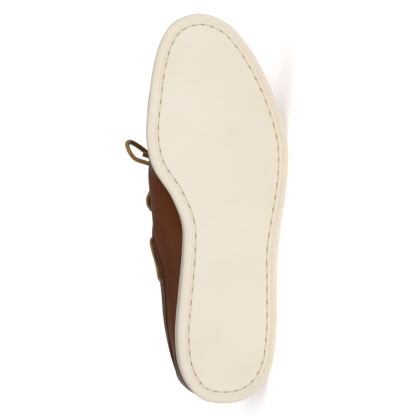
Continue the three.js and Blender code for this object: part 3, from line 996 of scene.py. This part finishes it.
EYELETS = {
    (side, k): beside_crest(side, row["x"], row["off"])
    for side in SIDES
    for k, row in enumerate(EYELET_ROWS)
}
LACE_HOLES = [
    on_collar_line(side, shown[end])
    for side in SIDES
    for shown in COLLAR_LACE_SHOWN
    for end in ("front", "back")
]
HOLES = [(*spot, EYELET_HOLE) for spot in EYELETS.values()]
HOLES += [(*spot, LACE_HOLE) for spot in LACE_HOLES]


def upper():
    mesh = bmesh.new()
    shares = shares_to(THROAT["front"], UPPER_BEHIND)
    front = [between(shares[-1], 1, (k + 1) / UPPER_AHEAD) for k in range(UPPER_AHEAD)]
    for side in SIDES:
        skin(mesh, side, shares + front, UPPER_ROWS, lambda s: 0.0, lambda s: rim_rise(side, s))
    tidy(mesh)
    punch_holes(mesh)
    made = piece("upper_leather", mesh, [HIDE, LINING, RAW_EDGE], ["upper"])
    thicken(made, WALL, inside=1)


upper()

# ---------------------------------------------------------------- moccasin stitches
# The same heavy thread, sewn by hand over the raised lip where the wall is gathered to the plug.

SEAM_THREAD = {"wide": 1.15, "high": 0.9, "dip": 1.3}
SEAM_REACH = 2.5  # from the seam to either end of a stitch
OVER_WALL, OVER_PLUG = 0.8, 0.9  # how far the ends' middles stand over the leather


def seam_stitches():
    mesh = bmesh.new()
    for side in SIDES:
        whole = SEAM_GONE[side][-1]
        for k in range(int(whole / SEAM["pitch"])):
            share = share_of_seam(side, whole - (k + 0.5) * SEAM["pitch"])
            rise = seam_rise(share)
            reach = SEAM_REACH / wall_length(side, share)
            low, out = skin_spot(side, share, rise - reach, OVER_WALL)
            high, _ = skin_spot(side, share, rise + reach, OVER_PLUG)
            stitch(mesh, low, high, out, **SEAM_THREAD)
    # Its last colour is painted shade, where each stitch dives into its hole.
    thread = waxed_thread("waxed_seam_thread", "#8A5C32", "#5A381C", "#3A2412")
    piece("moccasin_stitches", mesh, [thread])


seam_stitches()

# ---------------------------------------------------------------- heel counter
# A stiffener of the same hide, 1.6 mm, laid over the upper round the heel and sewn down along
# its front edges with two rows.

COUNTER = {"foot_reach": 46, "top_reach": 15, "bottom": 14.6, "top": 52, "thick": 1.6, "over": 1.9}
COUNTER_BEND = {"ahead": 6, "down": 10}  # what its front edge bends towards, from its top corner
COUNTER_SEWN = (2.2, 4.6)  # the rows of stitches, from the edge inwards
HEEL_SHARE = 0.4  # the counter ends before this share of the way to the toe
UPPER_THREAD = {"wide": 0.8, "high": 0.6, "dip": 0.35}
UPPER_PITCH, UPPER_STITCH = 3.2, 2.5  # from stitch to stitch, and a stitch's length
# Its last colour is painted shade, where each stitch dives into its hole.
FINE_THREAD = waxed_thread("waxed_upper_thread", "#8E6238", "#66421F", "#4A2E16")
HIDE_DARK = oiled_leather("oiled_counter_leather", "#582B0F", "#3F1D0A", "#693818")


def at_height(side, share, z):
    return solve(0, NEAR_CREST, lambda rise: last_point(side, share, rise).z - z)


@lru_cache(maxsize=None)
def counter_front(side, part, inside=0.0):
    """The height of the counter's front edge, part of the way up, and the share of it there."""
    rest = 1 - part
    steep_x = COUNTER["top_reach"] + COUNTER_BEND["ahead"]
    steep_z = COUNTER["top"] - COUNTER_BEND["down"]
    x = rest**2 * COUNTER["foot_reach"] + 2 * rest * part * steep_x + part**2 * COUNTER["top_reach"]
    z = rest**2 * COUNTER["bottom"] + 2 * rest * part * steep_z + part**2 * COUNTER["top"]
    share = solve(0, HEEL_SHARE, lambda s: last_point(side, s, at_height(side, s, z)).x - x + inside)
    return z, share


def stitch_row(mesh, path):
    """Even stitches along a path, given as points and the ways out of the leather there."""
    gone = running([point for point, _ in path])

    def at(length):
        i, part = span_at(gone, length)
        return path[i - 1][0].lerp(path[i][0], part), path[i - 1][1].lerp(path[i][1], part)

    count = max(1, round(gone[-1] / UPPER_PITCH))
    pitch = gone[-1] / count
    for k in range(count):
        (start, out), (end, _) = at(k * pitch), at((k + UPPER_STITCH / UPPER_PITCH) * pitch)
        stitch(mesh, start, end, out, **UPPER_THREAD)


def heel_counter():
    mesh, sewn = bmesh.new(), bmesh.new()
    columns, rows = 30, 24
    for side in SIDES:
        def spot(vert, column, row):
            z, front = counter_front(side, row / rows)
            share = front * (column if side == "inner" else columns - column) / columns
            vert.co, _ = skin_spot(side, share, at_height(side, share, z), COUNTER["over"])

        sheet(mesh, columns, rows, spot)
        for inside in COUNTER_SEWN:
            path = []
            for k in range(rows + 1):
                z, share = counter_front(side, between(0.02, 0.96, k / rows), inside)
                path.append(skin_spot(side, share, at_height(side, share, z), COUNTER["over"]))
            stitch_row(sewn, path)
    tidy(mesh)
    made = piece("heel_counter_leather", mesh, [HIDE_DARK, RAW_EDGE], ["heel_counter"])
    thicken(made, COUNTER["thick"])
    bevel = made.modifiers.new("worn_edge", "BEVEL")
    bevel.width, bevel.segments, bevel.limit_method = 0.0004, 2, "ANGLE"
    piece("counter_stitches", sewn, [FINE_THREAD])


heel_counter()

# ---------------------------------------------------------------- collar band
# A band of thinner hide round the collar and the facings, sewn down with two rows along its
# lower edge and one under the rim. Eyelets and collar lace go through it.

BAND = {"wide": 14, "thick": 0.7, "over": 0.75, "behind": 140, "ahead": 26, "across": 10}
BAND_ROWS = (3.6, 10.2, 12.4)  # the rows of stitches, from the rim down
RIM_COLUMNS = 130  # spots along each half of the rim
ROLL = {"round": 1.75, "sink": 0.75, "short": 0.6, "front": 133, "corners": 10}
ROLL_TAPER, ROLL_TIP = 10, 0.62  # how long its ends taper, and to what share of its radius


def rim_path(short, over, front=None):
    """Points and ways out that run so far short of the rim, from the inner facing to the outer."""
    shares = shares_to(THROAT["front"] + short if front is None else front, RIM_COLUMNS)
    inner = [skin_spot("inner", s, rim_rise("inner", s, short), over) for s in reversed(shares)]
    outer = [skin_spot("outer", s, rim_rise("outer", s, short), over) for s in shares[1:]]
    return inner + outer


def collar_band():
    mesh, sewn = bmesh.new(), bmesh.new()
    wide = BAND["wide"]
    throat = crest_share(THROAT["front"])
    shares = shares_to(THROAT["front"], BAND["behind"])
    shares += shares_to(THROAT["front"] + wide, BAND["ahead"], throat)[1:]
    for side in SIDES:
        low, high = lambda s: rim_rise(side, s, wide), lambda s: rim_rise(side, s)
        skin(mesh, side, shares, BAND["across"], low, high, BAND["over"])
    tidy(mesh)
    punch_holes(mesh, BAND["over"])
    made = piece("collar_band_leather", mesh, [HIDE_DARK, RAW_EDGE], ["upper"])
    thicken(made, BAND["thick"])
    for short in BAND_ROWS:
        stitch_row(sewn, rim_path(short, BAND["over"]))
    piece("collar_band_stitches", sewn, [FINE_THREAD])


collar_band()

# ---------------------------------------------------------------- collar roll
# A soft strip folded over the collar's rim, from facing to facing round the heel, thinned at
# both ends.


def tube(mesh, route, corners, section, face, mark=None):
    """A closed tube along a route. section(i, angle) gives across and high, face the first way up."""
    frames = []
    for i, point in enumerate(route):
        run = (route[min(i + 1, len(route) - 1)] - route[max(i - 1, 0)]).normalized()
        face = (face - run * face.dot(run)).normalized()
        frames.append((point, run.cross(face), face))

    def spot(vert, column, row):
        point, side, up = frames[column]
        across, high = section(column, math.tau * (row % corners + 0.5) / corners)
        vert.co = point + side * across + up * high
        if mark:
            mark(vert, column, across, high)

    verts = sheet(mesh, len(route) - 1, corners, spot)
    bmesh.ops.remove_doubles(mesh, verts=verts, dist=0.001)


def close_ends(mesh):
    bmesh.ops.holes_fill(mesh, edges=[e for e in mesh.edges if e.is_boundary], sides=0)
    bmesh.ops.recalc_face_normals(mesh, faces=mesh.faces)


def collar_roll():
    mesh = bmesh.new()
    path = [p for p, _ in rim_path(ROLL["short"], -ROLL["sink"], ROLL["front"])]
    gone = running(path)

    def section(i, angle):
        near = min(gone[i], gone[-1] - gone[i]) / ROLL_TAPER
        radius = ROLL["round"] * between(ROLL_TIP, 1, eased(0, 1, near))
        return radius * math.cos(angle), radius * math.sin(angle)

    tube(mesh, path, ROLL["corners"], section, Vector((0, 0, 1)))
    close_ends(mesh)
    piece("collar_roll_leather", mesh, [HIDE_DARK], ["upper"])


collar_roll()

# ---------------------------------------------------------------- tongue
# One layer of the upper's hide, 2.4 mm, sewn in under the vamp. Its free end is round and stands
# up a little behind the facings.

TONGUE = {"back": 103, "front": 202, "back_half": 25, "front_half": 19}
TONGUE_THICK, TONGUE_UNDER, TONGUE_CURL = 2.4, 7.1, 1.5
CURL_START, CURL_END = 125, 105
TONGUE_SEWN = 3.2  # from its edge to its row of stitches
SLIVER = 0.3  # faces finer than this are closed at its tips


def strip_rise(side, share, strip, grow=0.0):
    """How high up a section a strip over the crest begins."""
    return solve(0.3, 1, lambda rise: 1 if in_strip(last_point(side, share, rise), strip, grow) else -1)


def tongue():
    mesh, sewn = bmesh.new(), bmesh.new()
    columns, rows = 80, 16

    def over(x):
        return -TONGUE_UNDER + TONGUE_CURL * eased(CURL_START, CURL_END, x)

    def path(short):
        inside = short + 0.5  # where the strip already has some breadth
        start, end = crest_share(TONGUE["back"] + inside), crest_share(TONGUE["front"] - inside)
        eases = [0.5 - 0.5 * math.cos(math.pi * k / columns) for k in range(columns + 1)]
        return [between(start, end, ease) for ease in eases]

    shares = path(0)
    for side in SIDES:
        def spot(vert, column, row):
            share = shares[column if side == "inner" else columns - column]
            low = strip_rise(side, share, TONGUE)
            point, out = last_spot(side, share, between(low, 1, row / rows))
            vert.co = point + out * over(point.x)

        sheet(mesh, columns, rows, spot)
        row = []
        for share in path(TONGUE_SEWN):
            point, out = last_spot(side, share, strip_rise(side, share, TONGUE, -TONGUE_SEWN))
            row.append((point + out * over(point.x), out))
        stitch_row(sewn, row)
    tidy(mesh, SLIVER)
    made = piece("tongue_leather", mesh, [HIDE, LINING, RAW_EDGE], ["tongue"])
    thicken(made, TONGUE_THICK, inside=1)
    piece("tongue_stitches", sewn, [FINE_THREAD])


tongue()

# ---------------------------------------------------------------- eyelets
# Four brass eyelets, two on each facing, rolled over and set through band and upper. They are
# dulled by salt and handling.

EYELET_SECTION = [  # radius, and height over the upper
    (2.25, -2.5), (2.25, 1.1), (2.45, 1.5), (2.9, 1.7), (3.4, 1.62), (3.9, 1.25), (4.2, 0.85),
    (4.0, 0.75), (2.55, 0.7), (2.55, -2.5),
]
EYELET_STEPS = 28
BRASS_BRIGHT, BRASS_BROWN = "#B08D4C", "#6E5028"


def aged_brass():
    """Rolled brass that has dulled: bright and brown in cloudy patches, and rougher where it is brown.
    """
    made, tree, shader = new_material("aged_rolled_brass", Metallic=1.0, Roughness=0.34)
    stain = noise(tree, 420, 4)
    dress(tree, shader, mixed(tree, ramp(tree, stain, 0.4, 0.65), BRASS_BRIGHT, BRASS_BROWN))
    rough = reckon(tree, "ADD", 0.22, times(tree, stain, 0.3))
    tree.links.new(rough, shader.inputs["Roughness"])
    return made


BRASS = aged_brass()


def eyelet(side, k):
    point, out = EYELETS[side, k]
    ahead = Vector((1, 0, 0))
    ahead = (ahead - out * ahead.dot(out)).normalized()
    mesh = bmesh.new()
    ring = [mesh.verts.new(point + ahead * r + out * h) for r, h in EYELET_SECTION]
    for i, vert in enumerate(ring):
        mesh.edges.new((vert, ring[(i + 1) % len(ring)]))
    geometry = mesh.verts[:] + mesh.edges[:]
    bmesh.ops.spin(
        mesh, geom=geometry, cent=point, axis=out, angle=math.tau, steps=EYELET_STEPS, use_merge=True
    )
    tidy(mesh)
    bmesh.ops.recalc_face_normals(mesh, faces=mesh.faces)
    name = f"eyelet_{side}_{('rear', 'front')[k]}"
    piece(name + "_brass", mesh, [BRASS], [name])


for side, k in EYELETS:
    eyelet(side, k)

# ---------------------------------------------------------------- lace across the facings
# Rawhide lace: a strip of oil-tanned cowhide cut nearly square, brown on its grain, golden on
# its raw cut sides. It bars the front eyelets, crosses under the facings and comes up at the rear.

LACE, LACE_WIDE, LACE_THICK = 3.6, 3.9, 3.2
LACE_CORNERS, SQUARE = 12, 0.55  # points round its section, and how square that is: 1 is round
LACE_STEP = 0.8
LACE_BEND = 0.7 * LACE
LACE_UNDER = -(WALL + LACE / 2 + 2 * GAP)  # its centre's height where it runs inside the upper
CURVE_STEPS = 400
EYELET_LIP, UNDER_LIP = 1.5, 2.3
KNOT = Vector((159, 1, 84))
TUCK = {"behind": 5, "aside": 3.4, "down": 1.2}  # where the lace goes into the knot
RAWHIDE_FACE, RAWHIDE_DARK, RAWHIDE_SIDE, RAWHIDE_GOLD = "#6B4A22", "#3F2A12", "#8F6526", "#B98A3A"


def rawhide():
    """Oiled rawhide: satin, with dark pores on the grain and pale fibres along the cut sides."""
    made, tree, shader = new_material("oil_tanned_rawhide", Roughness=0.45, Specular_IOR_Level=0.5)
    way = add_node(tree, "Attribute", attribute_name="lace_way").outputs["Vector"]
    # Blotches 6 mm long, and fibres 0.8 mm wide drawn out along the lace.
    blotch = noise(tree, 0.16, 3, where=way)
    drawn = add_node(tree, "Mapping", {"Vector": way, "Scale": (0.12, 1.2, 1.2)}).outputs[0]
    fibre = noise(tree, 1, 4, where=drawn)
    face = mixed(tree, ramp(tree, blotch, 0.3, 0.7), RAWHIDE_DARK, RAWHIDE_FACE)
    raw = mixed(tree, ramp(tree, fibre, 0.35, 0.65), RAWHIDE_SIDE, RAWHIDE_GOLD)
    base = mixed(tree, carried(tree, "lace_side"), face, raw)
    dress(tree, shader, base, reckon(tree, "ADD", fibre, times(tree, blotch, 0.5)), depth=0.0004)
    return made


RAWHIDE = rawhide()


def lace_strip(mesh, route, face=Vector((0, 0, 1)), wide=LACE_WIDE, thick=LACE_THICK):
    """Rawhide along a route: nearly square, with soft corners. face is the way its grain looks."""
    way, side = layer(mesh, "lace_way", "float_vector"), layer(mesh, "lace_side")

    def section(_, angle):
        across, high = math.cos(angle), math.sin(angle)
        halves = ((across, wide / 2), (high, thick / 2))
        return [math.copysign(abs(v) ** SQUARE, v) * half for v, half in halves]

    gone = running(route)

    def mark(vert, column, across, high):
        # The grain is 0 and the cut sides are 1, and they change over at the corners.
        vert[way] = Vector((gone[column], across, high))
        vert[side] = held(0.8, 1.2, abs(across) * thick / max(abs(high) * wide, 1e-6))

    tube(mesh, route, LACE_CORNERS, section, face, mark)


def lace_piece(mesh, name):
    close_ends(mesh)
    return piece(name + "_rawhide", mesh, [RAWHIDE], [name])


def route_through(points, step=1.0):
    """Evenly spaced points along the smooth curve through some given ones."""
    curve = spline([Vector(p) for p in points])
    fine = [curve(k / CURVE_STEPS) for k in range(CURVE_STEPS + 1)]
    gone = running(fine)
    count = max(3, round(gone[-1] / step))
    spans = [span_at(gone, gone[-1] * k / count) for k in range(count + 1)]
    return [fine[i - 1].lerp(fine[i], part) for i, part in spans]


def beside_eyelet(eyelet_spot, goal, away, high):
    point, out = eyelet_spot
    towards = goal - point
    towards = (towards - out * towards.dot(out)).normalized()
    return point + towards * away + out * high


def over_eyelet(eyelet_spot, goal, way):
    """The lace's centre where it comes out of an eyelet and bends over, outside or inside."""
    lip = EYELET_LIP if way > 0 else UNDER_LIP
    bend = LACE_BEND
    turn = [(0, lip - 0.2 * LACE), (0.05 * bend, lip + 0.3 * bend), (0.4 * bend, lip + 0.82 * bend)]
    return [beside_eyelet(eyelet_spot, goal, a, way * h) for a, h in [*turn, (bend, lip + bend)]]


def over_crest(x, y, high):
    off = y - along(RIDGE_ROWS, "y", x)
    return beside_crest("inner" if off < 0 else "outer", x, abs(off), high)[0]


def lace_half(side):
    """One half of the lace, from the middle of the front bar to its tuck in the knot."""
    other = SIDES[1 - SIDES.index(side)]
    front, rear = EYELETS[side, 1], EYELETS[other, 0]
    across = EYELETS[other, 1][0]

    def between_spots(start, end, share, high):
        point = start.lerp(end, share)
        return over_crest(point.x, point.y, high)

    bar_side = between_spots(front[0], across, 0.3, LACE / 2 + 0.4)
    sign = math.copysign(1, rear[0].y)
    return [
        between_spots(front[0], across, 0.5, GAP),
        bar_side,
        *over_eyelet(front, bar_side, 1)[::-1],
        *over_eyelet(front, rear[0], -1),
        *[between_spots(front[0], rear[0], share, LACE_UNDER) for share in (0.3, 0.5, 0.7)],
        *over_eyelet(rear, front[0], -1)[::-1],
        *over_eyelet(rear, KNOT, 1),
        KNOT + Vector((-TUCK["behind"], TUCK["aside"] * sign, -TUCK["down"])),
    ]


def lace_crossings():
    mesh = bmesh.new()
    for side in SIDES:
        route = route_through(lace_half(side), LACE_STEP)
        lace_strip(mesh, route, Vector((0.3, 0, 1)))
    lace_piece(mesh, "lace_crossings")


lace_crossings()

# ---------------------------------------------------------------- collar lace
# The same lace runs in a tunnel round the collar. On each side it comes out twice, first as a
# small arch and then along the band, where it is pulled tight into the leather.


def collar_lace(side):
    bend, shown = LACE_BEND, LACE_THICK / 2
    points = [(COLLAR_LACE_SHOWN[0]["front"], LACE_UNDER)]
    for i, stretch in enumerate(COLLAR_LACE_SHOWN):
        front, back = stretch["front"], stretch["back"]
        points += [(front, -WALL / 2), (front - 0.3 * bend, 0.5 * shown), (front - bend, shown)]
        for share in (0.3, 0.5, 0.7):
            high = shown + stretch["arch"] * math.sin(math.pi * share)
            points.append((between(front, back, share), high))
        points += [(back + bend, shown), (back + 0.3 * bend, 0.5 * shown), (back, -WALL / 2)]
        following = COLLAR_LACE_SHOWN[i + 1]["front"] if i == 0 else back
        points.append(((back + following) / 2, LACE_UNDER))
    spots = [on_collar_line(side, x, high) for x, high in points]
    mesh = bmesh.new()
    lace_strip(mesh, route_through([p for p, _ in spots], LACE_STEP), spots[4][1])
    lace_piece(mesh, "collar_lace_" + side)


for side in SIDES:
    collar_lace(side)

# ---------------------------------------------------------------- bow
# The lace's two halves are tied in a bow. The rawhide is stiff enough to stand in its loops, and
# both ends are cut blunt.

BOW = {
    "lace_loop_inner": [
        (165.5, -5, 87), (174, -15, 89.5), (183, -25.5, 90.5), (191, -34.5, 90.5), (197, -43, 89),
        (200, -50, 86), (198, -53, 83), (192, -51.5, 81), (186.5, -47, 80.5), (183.8, -39.5, 80.3),
        (180.8, -30.5, 80.3), (172, -19.5, 83.2), (161.5, -9.5, 84),
    ],
    "lace_loop_outer": [
        (165, 7, 86.5), (171, 14, 88), (178, 21, 88), (184, 27, 86), (184, 32, 83),
        (178, 33, 81), (171, 27, 81.5), (165, 19, 82.5), (160, 11, 83.5),
    ],
    "lace_end_inner": [
        (166.5, -5.5, 80.5), (171, -12, 80), (177, -19.5, 80.5), (183, -27, 82), (188, -33.5, 83.5),
        (190.5, -40, 84.5),
    ],
    "lace_end_outer": [
        (157, 9.5, 86.5), (152, 15, 87), (146, 21, 86), (140, 27, 83.5), (134, 32, 80), (129, 36, 76),
    ],
}
KNOT_TURN = {"ahead": 4.3, "aside": 1.6, "high": 3.2, "wide": 5.6, "thick": 2.2, "start": 2.4}
KNOT_STEPS = 36
KNOT_STRAND = {"wide": 3.4, "thick": 2.9}
KNOT_JOINS = [("loop", 0), ("loop", -1), ("end", 0)]  # the bow's points that strands join


def knot():
    """One turn of lace drawn tight round the strands that it holds."""
    mesh = bmesh.new()
    level = Vector((KNOT_TURN["ahead"], KNOT_TURN["aside"], 0))
    upright = Vector((0, 0, KNOT_TURN["high"]))
    angles = [math.tau * k / KNOT_STEPS + KNOT_TURN["start"] for k in range(KNOT_STEPS + 1)]
    turn = [KNOT + level * math.cos(angle) + upright * math.sin(angle) for angle in angles]
    lace_strip(mesh, turn, turn[0] - KNOT, KNOT_TURN["wide"], KNOT_TURN["thick"])
    for kind, i in KNOT_JOINS:
        start, end = [Vector(BOW[f"lace_{kind}_{side}"][i]) for side in SIDES]
        middle = start.lerp(end, 0.5).lerp(KNOT, 0.75)
        strand = route_through([start, middle, end], LACE_STEP)
        lace_strip(mesh, strand, wide=KNOT_STRAND["wide"], thick=KNOT_STRAND["thick"])
    return lace_piece(mesh, "lace_knot")


def bow_stretch(name):
    """One loop or end of the bow, as a cord that leaves the knot."""
    route = route_through(BOW[name])
    mesh = bmesh.new()
    lace_strip(mesh, route)
    made = lace_piece(mesh, name)


tied_knot = knot()
for name in BOW:
    bow_stretch(name)
